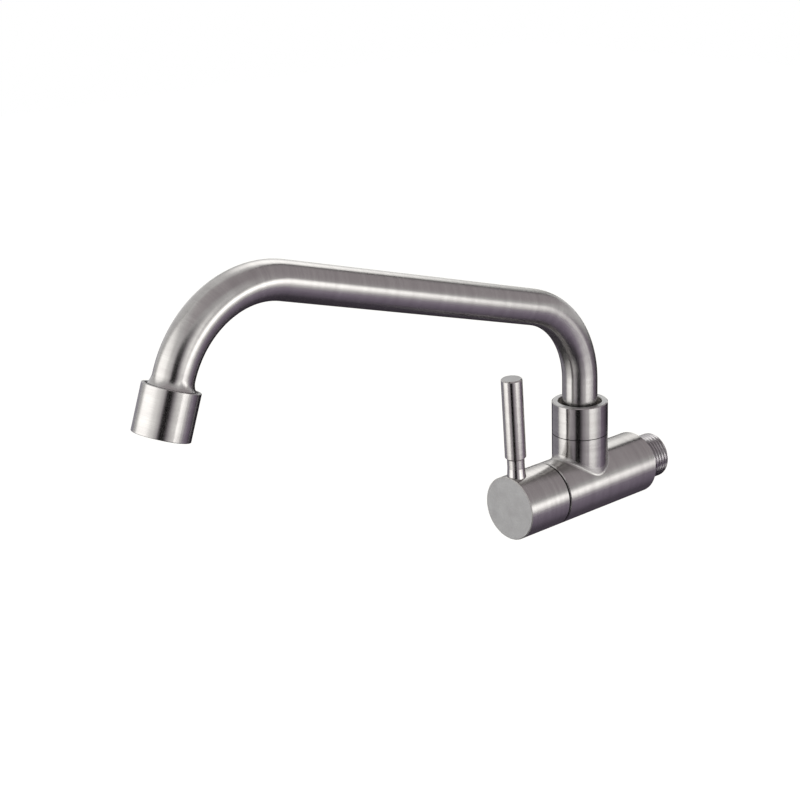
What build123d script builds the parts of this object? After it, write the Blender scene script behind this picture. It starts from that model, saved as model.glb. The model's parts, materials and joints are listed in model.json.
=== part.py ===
from build123d import *
from math import cos, radians, sin
import os

os.makedirs("parts", exist_ok=True)

# A wall tap for one cold supply: a horizontal body that screws into the wall on its inlet
# thread, a quarter turn ceramic valve worked by a lever knob at the front, and a bent tube
# spout that swivels on a stub on top of the body.
# Millimetres. The origin is the centre of the body's rear shoulder on the inlet axis,
# +Y runs into the wall, -Y comes out to the user, and +Z is up.

# Body
body_diameter = 29.0
body_length = 58.0
edge_break = 0.4
chamber_wall = 3.3
spout_axis_setback = 37.0       # from the rear shoulder forward to the spout's axis
stub_diameter = 25.5
stub_rise = 10.0                # shoulder of the stub above the top of the barrel
stub_root_fillet = 2.0
stub_land_height = 7.0          # externally threaded land above that shoulder
foot_ledge_wall = 3.8           # between the valve chamber and the bore for the spout's foot
spout_waterway_diameter = 12.0

# Valve room inside the body
seat_setback = 24.0             # from the rear shoulder to the face that the valve presses on
seat_wall = 4.0
seat_port_diameter = 9.2
chamber_length = 21.0

# Inlet tail, G 1/2 male
inlet_thread_diameter = 20.955
inlet_thread_pitch = 1.814
inlet_thread_depth = 1.162
inlet_thread_reach = 14.5       # from the rear shoulder to the free end
inlet_relief_length = 1.4
inlet_relief_diameter = 18.0
inlet_bore_diameter = 14.0
tail_wall = 2.0
tail_spigot_length = 8.0
shoulder_recess_clearance = 0.4  # room round the thread, so that a flat face meets the shoulder
shoulder_recess_depth = 0.6

# Headwork
headwork_thread_diameter = 18.0
headwork_flange_thickness = 1.6
headwork_hex_across_flats = 17.0
headwork_hex_length = 5.4
headwork_nose_wall = 2.4
headwork_nose_length = 3.0
headwork_skirt_relief = 0.5     # the skirt is this much smaller than the thread, on the radius
headwork_skirt_wall = 1.0
headwork_skirt_standoff = 0.6   # how far the seal stands out behind the skirt
window_width = 9.0
window_length = 6.6
bush_seal_section = 1.3
bush_seal_recess = 1.6
bush_seal_shoulder = 1.0        # the seal's recess is this much larger than the thread

# Discs, seat seal and spindle
seat_seal_thickness = 2.4
seat_seal_width = 2.05
disc_thickness = 3.0
disc_port_inner_diameter = 4.0
disc_port_outer_diameter = 10.4
disc_port_angle = 76.0
driver_thickness = 2.6
driver_gap = 2.1                # room above the driver plate for the water
driver_slot_width = 3.4
driver_slot_depth = 1.0
driver_slot_length = 9.0
spindle_diameter = 9.0
spindle_collar_thickness = 2.0
spindle_washer_thickness = 0.8
spindle_ring_section = 1.5
spindle_ring_setbacks = (8.0, 13.0)   # from the headwork's inner shoulder
circlip_thickness = 1.0
circlip_reach = 1.5             # how far the ring stands proud of the spindle
circlip_groove_depth = 1.0
circlip_gap_angle = 50.0
spline_teeth = 20
spline_depth = 0.35
spline_relief = 0.55            # the spline's tips are this far below the spindle's surface
spline_lead = 0.4               # plain step between the circlip and the spline
spindle_end_gap = 0.7
screw_groove_depth = 0.5
screw_groove_width = 3.0

# Handle
front_gap = 0.8                 # dark line between the body and the handle
handle_length = 24.2
handle_wall = 2.3
insert_gap = 1.9                # from the circlip to the insert
insert_wall = 2.15
insert_length = 8.0
glide_ring_wall = 1.0
glide_ring_length = 3.2
glide_lip_thickness = 0.75
screw_diameter = 5.0
screw_from_insert_back = 4.0
screw_recess = 1.3
screw_point_diameter = 2.4
screw_point_length = 1.3
screw_hex_across_flats = 2.5
screw_hex_depth = 2.2

# Lever
lever_from_front = 5.7          # from the handle's front face back to the lever's axis
lever_lean = 3.0                # degrees towards the user
lever_grip_diameter = 9.5
lever_grip_length = 36.7
lever_neck_diameter = 7.8
lever_neck_reach = 9.1          # from the handle's surface to the grip
lever_root_diameter = 8.5
lever_root_length = 5.0
lever_seat_depth = 1.0          # the round seat's floor below the handle's surface
lever_stud_diameter = 6.0
lever_stud_length = 5.5
lever_end_chamfer = 0.5
lever_step_chamfer = 0.8

# Collar nut and spout foot
collar_seam = 0.15
collar_height = 15.1
collar_lip = 3.6
collar_wall = 1.35
collar_gap = 2.0                # open ring round the tube
thrust_washer_thickness = 0.8
bearing_ring_thickness = 1.8
bearing_ring_split = 1.2
foot_flange_overhang = 1.7
foot_flange_thickness = 2.0
foot_barrel_diameter = 15.6
foot_bore_diameter = 10.0
foot_spigot_length = 8.6
foot_end_gap = 0.6
foot_ring_section = 1.6
foot_ring_heights = (4.6, 9.8)  # above the barrel's lower end

# Spout tube
tube_diameter = 16.0
tube_wall = 1.0
tube_rise = 15.2                # straight part above the foot's flange
rear_bend_radius = 42.0
run_slope = 15.8                # degrees that the long run climbs towards the user
run_length = 140.0
front_bend_radius = 42.5
outlet_tilt = 19.8              # degrees of the outlet away from straight down

# Nozzle and aerator
aerator_diameter = 22.6
aerator_length = 18.6
aerator_wall = 1.25
aerator_lip = 1.0
aerator_lip_reach = 0.9
nozzle_flare_length = 3.8
nozzle_flare_inset = 0.85       # the flare's foot stands this far inside the neck's radius
nozzle_groove_depth = 0.8       # from the sleeve's rim down to the neck's shoulder
nozzle_neck_length = 8.2        # from the sleeve's rim to the neck's end
room_step = 0.3                 # the room below the neck's thread is this much narrower
aerator_washer_thickness = 1.6
aerator_washer_width = 2.1
cage_wall = 1.2
cage_pocket_wall = 0.8
cage_pocket_depth = 4.0
cage_rim_width = 0.6
cage_rim_thickness = 0.9
sieve_thickness = 0.5
sieve_dome = 1.3
diffuser_thickness = 1.4
diffuser_rim = 1.1
jet_diameter = 1.4
jets_per_ring = (6, 12)
jet_ring_radii = (2.9, 5.9)
mesh_thickness = 0.5
mesh_opening = 1.3
mesh_pitch = 1.9

# Fits, each on the radius or along the axis
thread_fit = 0.05
spigot_fit = 0.05
seal_fit = 0.05
running_fit = 0.10
disc_fit = 0.10
lapped_film = 0.02
washer_fit = 0.10
cage_fit = 0.20
hex_fit = 0.10
root_seat_fit = 0.05
axial_play = 0.05


# Diameters that follow from those above
body_radius = body_diameter / 2
chamber_diameter = body_diameter - 2 * chamber_wall
tail_spigot_diameter = inlet_bore_diameter + 2 * tail_wall
shoulder_recess_diameter = inlet_thread_diameter + 2 * shoulder_recess_clearance
headwork_skirt_diameter = headwork_thread_diameter - 2 * headwork_skirt_relief
headwork_skirt_bore = headwork_skirt_diameter - 2 * headwork_skirt_wall
bush_seal_recess_diameter = headwork_thread_diameter + 2 * bush_seal_shoulder
disc_diameter = headwork_skirt_bore - 2 * disc_fit
spindle_bore = spindle_diameter + 2 * running_fit
handle_cup_diameter = body_diameter - 2 * handle_wall
glide_ring_diameter = handle_cup_diameter - 2 * running_fit
headwork_flange_diameter = glide_ring_diameter - 2 * glide_ring_wall - 2 * spigot_fit
glide_lip_bore = headwork_hex_across_flats / cos(radians(30)) + 2 * hex_fit
spline_diameter = spindle_diameter - 2 * spline_relief
spline_root_diameter = spline_diameter - 2 * spline_depth
screw_groove_diameter = spline_root_diameter - 2 * screw_groove_depth
insert_diameter = spline_diameter + 2 * insert_wall
stub_land_diameter = stub_diameter - 2 * collar_wall
foot_bore_in_stub = foot_barrel_diameter + 2 * running_fit
foot_flange_diameter = tube_diameter + 2 * foot_flange_overhang
collar_mouth_diameter = tube_diameter + 2 * collar_gap
tube_bore = tube_diameter - 2 * tube_wall
aerator_thread_diameter = aerator_diameter - 2 * aerator_wall
nozzle_neck_diameter = aerator_thread_diameter - 2 * thread_fit
nozzle_flare_diameter = nozzle_neck_diameter - 2 * nozzle_flare_inset
aerator_room_diameter = nozzle_neck_diameter - 2 * room_step
aerator_mouth_diameter = aerator_room_diameter - 2 * aerator_lip_reach
cage_diameter = aerator_room_diameter - 2 * cage_fit
cage_bore = cage_diameter - 2 * cage_wall
cage_pocket_diameter = cage_diameter - 2 * cage_pocket_wall
cage_rim_bore = cage_bore - 2 * cage_rim_width

# Stations along the valve, measured forward from the rear shoulder
chamber_end = seat_setback + chamber_length
fixed_disc_back = seat_setback + seat_seal_thickness
moving_disc_back = fixed_disc_back + disc_thickness + lapped_film
driver_back = moving_disc_back + disc_thickness
driver_front = driver_back + driver_thickness
spindle_collar_back = driver_front + driver_gap
spindle_collar_front = spindle_collar_back + spindle_collar_thickness
bush_shoulder = spindle_collar_front + axial_play + spindle_washer_thickness
bush_back = seat_setback + headwork_skirt_standoff
bush_flange_front = body_length + headwork_flange_thickness
bush_hex_front = bush_flange_front + headwork_hex_length
bush_nose_front = bush_hex_front + headwork_nose_length
circlip_back = bush_nose_front + 2 * axial_play
circlip_front = circlip_back + circlip_thickness
spline_back = circlip_front + spline_lead
handle_back = body_length + front_gap
handle_front = handle_back + handle_length
handle_cup_floor = circlip_front + insert_gap
insert_front = handle_cup_floor + insert_length
spindle_front = insert_front - spindle_end_gap
screw_setback = handle_cup_floor + screw_from_insert_back
lever_setback = handle_front - lever_from_front

# Heights above the body's axis, up the spout's axis or along the lever
stub_height = body_radius + stub_rise
stub_top = stub_height + stub_land_height
collar_bottom = stub_height + collar_seam
collar_top = collar_bottom + collar_height
collar_ceiling = collar_top - collar_lip
foot_ledge_height = chamber_diameter / 2 + foot_ledge_wall
foot_bottom = foot_ledge_height + foot_end_gap
foot_flange_bottom = stub_top + thrust_washer_thickness
foot_flange_top = foot_flange_bottom + foot_flange_thickness
lever_seat_height = body_radius - lever_seat_depth
lever_grip_start = body_radius + lever_neck_reach
lever_top = lever_grip_start + lever_grip_length

# Frames: each one's own Z runs along the axis that it is named for
along_body = Plane(origin=(0, 0, 0), x_dir=(1, 0, 0), z_dir=(0, -1, 0))
up_spout = Plane(origin=(0, -spout_axis_setback, 0), x_dir=(1, 0, 0), z_dir=(0, 0, 1))
lean = radians(lever_lean)
up_lever = Plane(
    origin=(0, -lever_setback, 0), x_dir=(1, 0, 0), z_dir=(0, -sin(lean), cos(lean))
)
down_screw = Plane(origin=(0, -screw_setback, 0), x_dir=(1, 0, 0), z_dir=(0, 0, -1))
# Across the spout: its own X runs forward to the user and its own Y runs up
spout_section = Plane(origin=(0, -spout_axis_setback, 0), x_dir=(0, -1, 0), z_dir=(-1, 0, 0))


def turned(frame, *outline):
    """Turn a half section, given as (radius, height) corners, about the frame's Z."""
    corners = [(radius, 0, height) for radius, height in outline]
    half_section = make_face(Polyline(*corners, close=True))
    return frame.location * revolve(half_section, Axis.Z)


def bar(frame, diameter, low, high):
    """A plain round bar between two heights of the frame."""
    return turned(frame, (0, low), (diameter / 2, low), (diameter / 2, high), (0, high))


def tube(frame, outer, inner, low, high):
    """A plain round tube between two heights of the frame."""
    corners = [(inner / 2, low), (outer / 2, low), (outer / 2, high), (inner / 2, high)]
    return turned(frame, *corners)


def o_ring(frame, inner, section, height):
    """A round section ring of rubber on a groove of the given inner diameter."""
    ring = Torus(inner / 2 + section / 2, section / 2)
    return frame.location * (Pos(0, 0, height) * ring)


def prism(frame, sketch, low, high):
    """A flat outline pushed from one height of the frame to another."""
    return frame.location * (Pos(0, 0, low) * extrude(sketch, high - low))


def save(node, shape):
    """Write one sub-part, as a group of separate solids where it has more than one."""
    solids = shape.solids()
    export_step(solids[0] if len(solids) == 1 else Compound(solids), f"parts/{node}.step")


# Body

def body():
    """The machined body: barrel and stub, with the inlet, the seat and the valve room."""
    barrel = turned(
        along_body,
        (0, 0), (body_radius - edge_break, 0), (body_radius, edge_break),
        (body_radius, body_length - edge_break), (body_radius - edge_break, body_length),
        (0, body_length),
    )
    shell = barrel + bar(up_spout, stub_diameter, 0, stub_height)
    # The saddle where the two cylinders meet is the only edge that is no circle or line
    shell = fillet(shell.edges().filter_by(GeomType.BSPLINE), stub_root_fillet)
    shell += bar(up_spout, stub_land_diameter, stub_height, stub_top)
    hollows = [
        bar(along_body, shoulder_recess_diameter, 0, shoulder_recess_depth),
        bar(along_body, tail_spigot_diameter + 2 * spigot_fit, 0, tail_spigot_length),
        bar(along_body, inlet_bore_diameter, tail_spigot_length, seat_setback - seat_wall),
        bar(along_body, seat_port_diameter, seat_setback - seat_wall, seat_setback),
        bar(along_body, chamber_diameter, seat_setback, chamber_end),
        bar(along_body, headwork_thread_diameter, chamber_end, body_length),
        bar(along_body, bush_seal_recess_diameter, body_length - bush_seal_recess, body_length),
        bar(up_spout, spout_waterway_diameter, 0, foot_ledge_height),
        bar(up_spout, foot_bore_in_stub, foot_ledge_height, stub_top),
    ]
    return shell - hollows


def inlet_tail():
    """The threaded tail, brazed into the back of the body. The thread is cut as ridges."""
    root = inlet_thread_diameter - 2 * inlet_thread_depth
    crest_land = inlet_thread_pitch / 6
    flank = (inlet_thread_pitch - 2 * crest_land) / 2
    relief_back = -inlet_relief_length
    tail = bar(along_body, tail_spigot_diameter, 0, tail_spigot_length)
    tail += bar(along_body, inlet_relief_diameter, relief_back, 0)
    tail += bar(along_body, root, -inlet_thread_reach, relief_back)
    turns = int((inlet_thread_reach - inlet_relief_length) / inlet_thread_pitch)
    for turn in range(turns):
        front = relief_back - turn * inlet_thread_pitch
        tail += turned(
            along_body,
            (0, front), (root / 2, front), (inlet_thread_diameter / 2, front - flank),
            (inlet_thread_diameter / 2, front - flank - crest_land),
            (root / 2, front - 2 * flank - crest_land), (0, front - 2 * flank - crest_land),
        )
    return tail - bar(along_body, inlet_bore_diameter, -inlet_thread_reach, tail_spigot_length)


# Headwork

def headwork_bush():
    """The bush that screws into the body's mouth and holds the discs and the spindle."""
    seal_root = bush_seal_bore() - 2 * seal_fit
    thread_front = body_length - bush_seal_recess
    thread_diameter = headwork_thread_diameter - 2 * thread_fit
    solid = bar(along_body, headwork_skirt_diameter, bush_shoulder, chamber_end)
    solid += bar(along_body, thread_diameter, chamber_end, thread_front)
    solid += bar(along_body, seal_root, thread_front, body_length)
    solid += bar(along_body, headwork_flange_diameter, body_length, bush_flange_front)
    hexagon = RegularPolygon(headwork_hex_across_flats / 2, 6, major_radius=False)
    solid += prism(along_body, hexagon, bush_flange_front, bush_hex_front)
    nose = spindle_bore + 2 * headwork_nose_wall
    solid += bar(along_body, nose, bush_hex_front, bush_nose_front)
    solid += tube(
        along_body, headwork_skirt_diameter, headwork_skirt_bore, bush_back, bush_shoulder
    )
    # Two side windows, above and below, let the water out of the room over the discs
    window = Rectangle(window_width, headwork_thread_diameter)
    window_back = spindle_collar_back - window_length
    solid -= prism(along_body, window, window_back, spindle_collar_back)
    return solid - bar(along_body, spindle_bore, bush_shoulder, bush_nose_front)


def bush_seal_bore():
    """Inner diameter of the O ring under the flange, from the recess that it fills."""
    return bush_seal_recess_diameter - 2 * bush_seal_section - 2 * seal_fit


def bush_seal():
    """The O ring under the headwork's flange."""
    middle = body_length - bush_seal_recess / 2
    return o_ring(along_body, bush_seal_bore(), bush_seal_section, middle)


def seat_seal():
    """The rubber ring that the headwork presses on the seat."""
    outer = headwork_skirt_bore - 2 * seal_fit
    return tube(along_body, outer, outer - 2 * seat_seal_width, seat_setback, fixed_disc_back)


def port_sketch(around):
    """Two opposite ports of a disc, each a ring sector, the first one at the given angle."""
    half = radians(disc_port_angle / 2)
    reach = disc_port_outer_diameter
    wedge = Polygon(
        (0, 0), (reach * cos(half), -reach * sin(half)), (reach * cos(half), reach * sin(half)),
        align=None,
    )
    wedges = Rot(0, 0, around) * wedge + Rot(0, 0, around + 180) * wedge
    return (wedges & Circle(disc_port_outer_diameter / 2)) - Circle(disc_port_inner_diameter / 2)


def fixed_disc():
    """The ceramic disc that stays still, with its two ports left and right."""
    front = fixed_disc_back + disc_thickness
    disc = bar(along_body, disc_diameter, fixed_disc_back, front)
    return disc - prism(along_body, port_sketch(0), fixed_disc_back, front)


def moving_disc():
    """The ceramic disc that turns: closed at rest, its ports stand above and below."""
    disc = bar(along_body, disc_diameter, moving_disc_back, driver_back)
    disc -= prism(along_body, port_sketch(90), moving_disc_back, driver_back)
    slot = Rectangle(driver_slot_length + 2 * disc_fit, driver_slot_width + 2 * disc_fit)
    return disc - prism(along_body, slot, driver_back - driver_slot_depth, driver_back)


def spline_sketch(grow):
    """The toothed section of the spindle's end, grown all round for the insert's bore."""
    corners = []
    for tooth in range(spline_teeth):
        for share, diameter in ((0.0, spline_root_diameter), (0.5, spline_diameter)):
            angle = radians(360 * (tooth + share) / spline_teeth)
            radius = diameter / 2 + grow
            corners.append((radius * cos(angle), radius * sin(angle)))
    return Polygon(*corners, align=None)


def ring_groove(frame, bore, section, floor, height):
    """What is cut off a bar for one O ring: down to the floor, a little longer than the ring."""
    half = section / 2 + axial_play
    return tube(frame, bore, floor, height - half, height + half)


def spindle_ring_bore():
    """Inner diameter of the spindle's O rings, from the bore that they seal in."""
    return spindle_bore - 2 * spindle_ring_section - 2 * seal_fit


def valve_spindle():
    """The spindle, with its driver plate, O ring grooves, circlip groove and splined end."""
    plate = headwork_skirt_bore - 2 * running_fit
    driver = bar(along_body, plate, driver_back, driver_front)
    driver -= prism(along_body, port_sketch(90), driver_back, driver_front)
    tenon = Rectangle(driver_slot_length, driver_slot_width)
    tenon_back = driver_back - driver_slot_depth + axial_play
    solid = driver + prism(along_body, tenon, tenon_back, driver_back)
    solid += bar(along_body, spindle_diameter, driver_front, spline_back)
    solid += bar(along_body, plate, spindle_collar_back, spindle_collar_front)
    solid += prism(along_body, spline_sketch(0), spline_back, spindle_front)
    for setback in spindle_ring_setbacks:
        floor = spindle_ring_bore() - 2 * seal_fit
        middle = bush_shoulder + setback
        solid -= ring_groove(along_body, spindle_bore, spindle_ring_section, floor, middle)
    clip_floor = spindle_diameter - 2 * circlip_groove_depth
    half = screw_groove_width / 2
    return solid - [
        tube(along_body, spindle_bore, clip_floor,
             circlip_back - axial_play, circlip_front + axial_play),
        tube(along_body, spindle_bore, screw_groove_diameter,
             screw_setback - half, screw_setback + half),
    ]


def spindle_o_rings():
    """Two O rings that seal the spindle in its bush."""
    rings = [
        o_ring(along_body, spindle_ring_bore(), spindle_ring_section, bush_shoulder + setback)
        for setback in spindle_ring_setbacks
    ]
    return Compound(rings)


def spindle_washer():
    """The slippery washer between the spindle's collar and the bush."""
    bore = spindle_diameter + 2 * washer_fit
    outer = headwork_skirt_bore - 2 * washer_fit
    return tube(along_body, outer, bore, bush_shoulder - spindle_washer_thickness, bush_shoulder)


def spindle_circlip():
    """The open spring ring that keeps the spindle in its bush."""
    outer = spindle_diameter / 2 + circlip_reach
    inner = spindle_diameter / 2 - circlip_groove_depth + seal_fit
    ring = Circle(outer) - Circle(inner)
    reach = 2 * outer
    half = radians(circlip_gap_angle / 2)
    opening = Polygon(
        (0, 0), (-reach * sin(half), -reach * cos(half)), (reach * sin(half), -reach * cos(half)),
        align=None,
    )
    return prism(along_body, ring - opening, circlip_back, circlip_front)


# Handle

def handle_glide_ring():
    """The black ring that the handle's cup runs on, which also fills the dark line."""
    outer = glide_ring_diameter / 2
    flange = outer - glide_ring_wall
    lip_back = bush_flange_front + axial_play
    return turned(
        along_body,
        (flange, body_length), (outer, body_length), (outer, body_length + glide_ring_length),
        (flange, body_length + glide_ring_length), (flange, lip_back + glide_lip_thickness),
        (glide_lip_bore / 2, lip_back + glide_lip_thickness), (glide_lip_bore / 2, lip_back),
        (flange, lip_back),
    )


def handle_cap():
    """The knob: a cup over the headwork, bored for the insert, the lever and the screw."""
    radius = body_radius
    cup = turned(
        along_body,
        (0, handle_cup_floor), (handle_cup_diameter / 2, handle_cup_floor),
        (handle_cup_diameter / 2, handle_back), (radius - edge_break, handle_back),
        (radius, handle_back + edge_break), (radius, handle_front - edge_break),
        (radius - edge_break, handle_front), (0, handle_front),
    )
    insert_bore = insert_diameter + 2 * spigot_fit
    lever_seat = lever_root_diameter + 2 * root_seat_fit
    stud_bore = lever_stud_diameter + 2 * thread_fit
    stud_floor = lever_seat_height - lever_stud_length - 2 * axial_play
    return cup - [
        bar(along_body, insert_bore, handle_cup_floor, insert_front),
        bar(down_screw, screw_diameter, 0, body_diameter),
        bar(up_lever, lever_seat, lever_seat_height, body_diameter),
        bar(up_lever, stud_bore, stud_floor, lever_seat_height),
    ]


def spline_insert():
    """The sleeve in the knob that takes the spindle's splines."""
    sleeve = bar(along_body, insert_diameter, handle_cup_floor, insert_front)
    sleeve -= prism(along_body, spline_sketch(spigot_fit), handle_cup_floor, insert_front)
    return sleeve - bar(down_screw, screw_diameter, 0, body_radius)


def handle_grub_screw():
    """The socket set screw that fixes the knob, from underneath, with a dog point."""
    head = body_radius - screw_recess
    point = screw_groove_diameter / 2 + seal_fit
    shank = point + screw_point_length
    threaded = screw_diameter - 2 * thread_fit
    solid = bar(down_screw, screw_point_diameter, point, shank)
    solid += bar(down_screw, threaded, shank, head)
    hexagon = RegularPolygon(screw_hex_across_flats / 2, 6, major_radius=False)
    return solid - prism(down_screw, hexagon, head - screw_hex_depth, head)


def lever_rod():
    """The turned lever: stud, flared neck and grip, leaning a little to the user."""
    grip = lever_grip_diameter / 2
    neck = lever_neck_diameter / 2
    root = lever_root_diameter / 2
    stud = lever_stud_diameter / 2
    low = lever_seat_height - lever_stud_length
    flare_top = lever_seat_height + lever_root_length
    return turned(
        up_lever,
        (0, low), (stud, low), (stud, lever_seat_height),
        (root - lever_end_chamfer, lever_seat_height),
        (root, lever_seat_height + lever_end_chamfer), (neck, flare_top),
        (neck, lever_grip_start - lever_step_chamfer), (grip, lever_grip_start),
        (grip, lever_top - lever_end_chamfer), (grip - lever_end_chamfer, lever_top),
        (0, lever_top),
    )


# Spout joint

def collar_nut():
    """The round nut on the stub that keeps the spout's foot down."""
    outer = stub_diameter / 2
    thread = stub_land_diameter / 2 + thread_fit
    mouth = collar_mouth_diameter / 2
    ease = edge_break
    return turned(
        up_spout,
        (thread, collar_bottom), (outer - ease / 2, collar_bottom),
        (outer, collar_bottom + ease / 2), (outer, collar_top - ease),
        (outer - ease, collar_top), (mouth + ease / 2, collar_top),
        (mouth, collar_top - ease / 2), (mouth, collar_ceiling), (thread, collar_ceiling),
    )


def spout_thrust_washer():
    """The washer that the foot's flange turns on."""
    bore = foot_barrel_diameter + 2 * washer_fit
    return tube(up_spout, stub_land_diameter - 2 * washer_fit, bore, stub_top, foot_flange_bottom)


def spout_bearing_ring():
    """The split ring between the foot's flange and the nut."""
    bore = tube_diameter + 2 * running_fit
    outer = stub_land_diameter - 2 * washer_fit
    ring = Circle(outer / 2) - Circle(bore / 2)
    split = Pos(0, outer / 2) * Rectangle(bearing_ring_split, outer)
    low = foot_flange_top + axial_play
    return prism(up_spout, ring - split, low, low + bearing_ring_thickness)


def foot_ring_bore():
    """Inner diameter of the foot's O rings, from the bore that they seal in."""
    return foot_bore_in_stub - 2 * foot_ring_section - 2 * seal_fit


def spout_foot():
    """The turned foot brazed in the tube's end: barrel, flange and spigot."""
    spigot_top = foot_flange_top + foot_spigot_length
    solid = bar(up_spout, foot_barrel_diameter, foot_bottom, foot_flange_bottom)
    solid += bar(up_spout, foot_flange_diameter, foot_flange_bottom, foot_flange_top)
    solid += bar(up_spout, tube_bore - 2 * spigot_fit, foot_flange_top, spigot_top)
    for height in foot_ring_heights:
        floor = foot_ring_bore() - 2 * seal_fit
        middle = foot_bottom + height
        solid -= ring_groove(up_spout, foot_bore_in_stub, foot_ring_section, floor, middle)
    return solid - bar(up_spout, foot_bore_diameter, foot_bottom, spigot_top)


def spout_o_rings():
    """Two O rings on the foot's barrel."""
    rings = [
        o_ring(up_spout, foot_ring_bore(), foot_ring_section, foot_bottom + height)
        for height in foot_ring_heights
    ]
    return Compound(rings)


# Spout tube and nozzle

slope = radians(run_slope)
tilt = radians(outlet_tilt)
bend_start = (0, foot_flange_top + tube_rise)
run_start = (
    rear_bend_radius * (1 - sin(slope)),
    bend_start[1] + rear_bend_radius * cos(slope),
)
run_end = (
    run_start[0] + run_length * cos(slope),
    run_start[1] + run_length * sin(slope),
)
front_bend_centre = (
    run_end[0] + front_bend_radius * sin(slope),
    run_end[1] - front_bend_radius * cos(slope),
)
outlet_start = (
    front_bend_centre[0] + front_bend_radius * cos(tilt),
    front_bend_centre[1] + front_bend_radius * sin(tilt),
)
out_of_spout = Plane(
    origin=(0, -spout_axis_setback - outlet_start[0], outlet_start[1]),
    x_dir=(1, 0, 0),
    z_dir=(0, -sin(tilt), -cos(tilt)),
)


def spout_tube():
    """The bent tube: up from the foot, along the climbing run and down to the nozzle."""
    rise = Line((0, foot_flange_top), bend_start)
    rear_bend = JernArc(start=bend_start, tangent=(0, 1), radius=rear_bend_radius,
                        arc_size=-(90 - run_slope))
    run = Line(rear_bend @ 1, run_end)
    front_bend = JernArc(start=run_end, tangent=(cos(slope), sin(slope)),
                         radius=front_bend_radius,
                         arc_size=-(90 + run_slope - outlet_tilt))
    path = spout_section.location * (rise + rear_bend + run + front_bend)
    foot_end = Plane(origin=(0, -spout_axis_setback, foot_flange_top), z_dir=(0, 0, 1))
    section = foot_end * (Circle(tube_diameter / 2) - Circle(tube_bore / 2))
    return sweep(section, path=path)


def spout_nozzle():
    """The flared end brazed on the tube, with the threaded neck that takes the aerator.

    A narrow groove is left between the flare's foot and the sleeve's rim.
    """
    tube_radius = tube_diameter / 2
    flare = nozzle_flare_diameter / 2
    drop = nozzle_flare_length
    shoulder = drop + nozzle_groove_depth
    neck = nozzle_neck_diameter / 2
    bore = tube_bore / 2
    end = drop + nozzle_neck_length
    edges = [
        Line((bore, 0, 0), (tube_radius, 0, 0)),
        TangentArc((tube_radius, 0, 0), (flare, 0, drop), tangent=(0, 0, 1)),
        Polyline(
            (flare, 0, drop), (flare, 0, shoulder), (neck, 0, shoulder),
            (neck, 0, end), (bore, 0, end), (bore, 0, 0),
        ),
    ]
    half_section = make_face(edges)
    return out_of_spout.location * revolve(half_section, Axis.Z)


# Aerator

washer_top = nozzle_flare_length + nozzle_neck_length
cage_top = washer_top + aerator_washer_thickness
aerator_end = nozzle_flare_length + aerator_length
cage_end = aerator_end - aerator_lip
cage_ledge = cage_top + cage_pocket_depth


def aerator_housing():
    """The sleeve screwed on the nozzle's neck, with the lip that holds the cage."""
    outer = aerator_diameter / 2
    thread = aerator_thread_diameter / 2
    room = aerator_room_diameter / 2
    mouth = aerator_mouth_diameter / 2
    ease = edge_break / 2
    return turned(
        out_of_spout,
        (thread, nozzle_flare_length), (outer - ease, nozzle_flare_length),
        (outer, nozzle_flare_length + ease), (outer, aerator_end - ease),
        (outer - ease, aerator_end), (mouth, aerator_end), (mouth, cage_end),
        (room, cage_end), (room, cage_top - axial_play), (thread, cage_top - axial_play),
    )


def aerator_washer():
    """The flat rubber washer between the nozzle's neck and the cage."""
    outer = aerator_room_diameter - 2 * washer_fit
    return tube(out_of_spout, outer, outer - 2 * aerator_washer_width, washer_top, cage_top)


def aerator_cage():
    """The moulded cage that holds the sieve, the diffuser and the mesh."""
    outer = cage_diameter / 2
    return turned(
        out_of_spout,
        (cage_pocket_diameter / 2, cage_top), (outer, cage_top), (outer, cage_end),
        (cage_rim_bore / 2, cage_end), (cage_rim_bore / 2, cage_end - cage_rim_thickness),
        (cage_bore / 2, cage_end - cage_rim_thickness), (cage_bore / 2, cage_ledge),
        (cage_pocket_diameter / 2, cage_ledge),
    )


def aerator_sieve():
    """The domed inlet sieve that lies on the diffuser's rim."""
    rim = cage_pocket_diameter / 2 - washer_fit
    crown = rim - sieve_dome
    base = cage_ledge - diffuser_thickness - diffuser_rim
    top = base - sieve_dome
    solid = turned(
        out_of_spout,
        (0, top), (crown, top), (rim, base - sieve_thickness), (rim, base),
        (crown, base), (crown, top + sieve_thickness), (0, top + sieve_thickness),
    )
    pores = grid_sketch(crown - mesh_opening)
    return solid - prism(out_of_spout, pores, top - sieve_thickness, base)


def aerator_diffuser():
    """The plate that splits the water into jets."""
    low = cage_ledge - diffuser_thickness
    rim = cage_pocket_diameter - 2 * washer_fit
    solid = bar(out_of_spout, rim, low, cage_ledge)
    solid += tube(out_of_spout, rim, rim - 2 * diffuser_rim, low - diffuser_rim, low)
    jets = Sketch()
    for ring_radius, count in zip(jet_ring_radii, jets_per_ring):
        jets += PolarLocations(ring_radius, count) * Circle(jet_diameter / 2)
    return solid - prism(out_of_spout, jets, low, cage_ledge)


def grid_sketch(reach):
    """Square pores on a grid, each one wholly inside the given radius."""
    count = int(reach / mesh_pitch)
    pores = Sketch()
    for column in range(-count, count + 1):
        for row in range(-count, count + 1):
            far = (abs(column) + 0.5) ** 2 + (abs(row) + 0.5) ** 2
            if far * mesh_pitch ** 2 < reach ** 2:
                pores += Pos(column * mesh_pitch, row * mesh_pitch) * Rectangle(
                    mesh_opening, mesh_opening
                )
    return pores


def aerator_mesh():
    """The outlet mesh on the cage's rim, drawn coarser than the woven one."""
    low = cage_end - cage_rim_thickness - mesh_thickness
    solid = bar(out_of_spout, cage_bore - 2 * washer_fit, low, low + mesh_thickness)
    return solid - prism(out_of_spout, grid_sketch(cage_rim_bore / 2), low, low + mesh_thickness)


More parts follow.
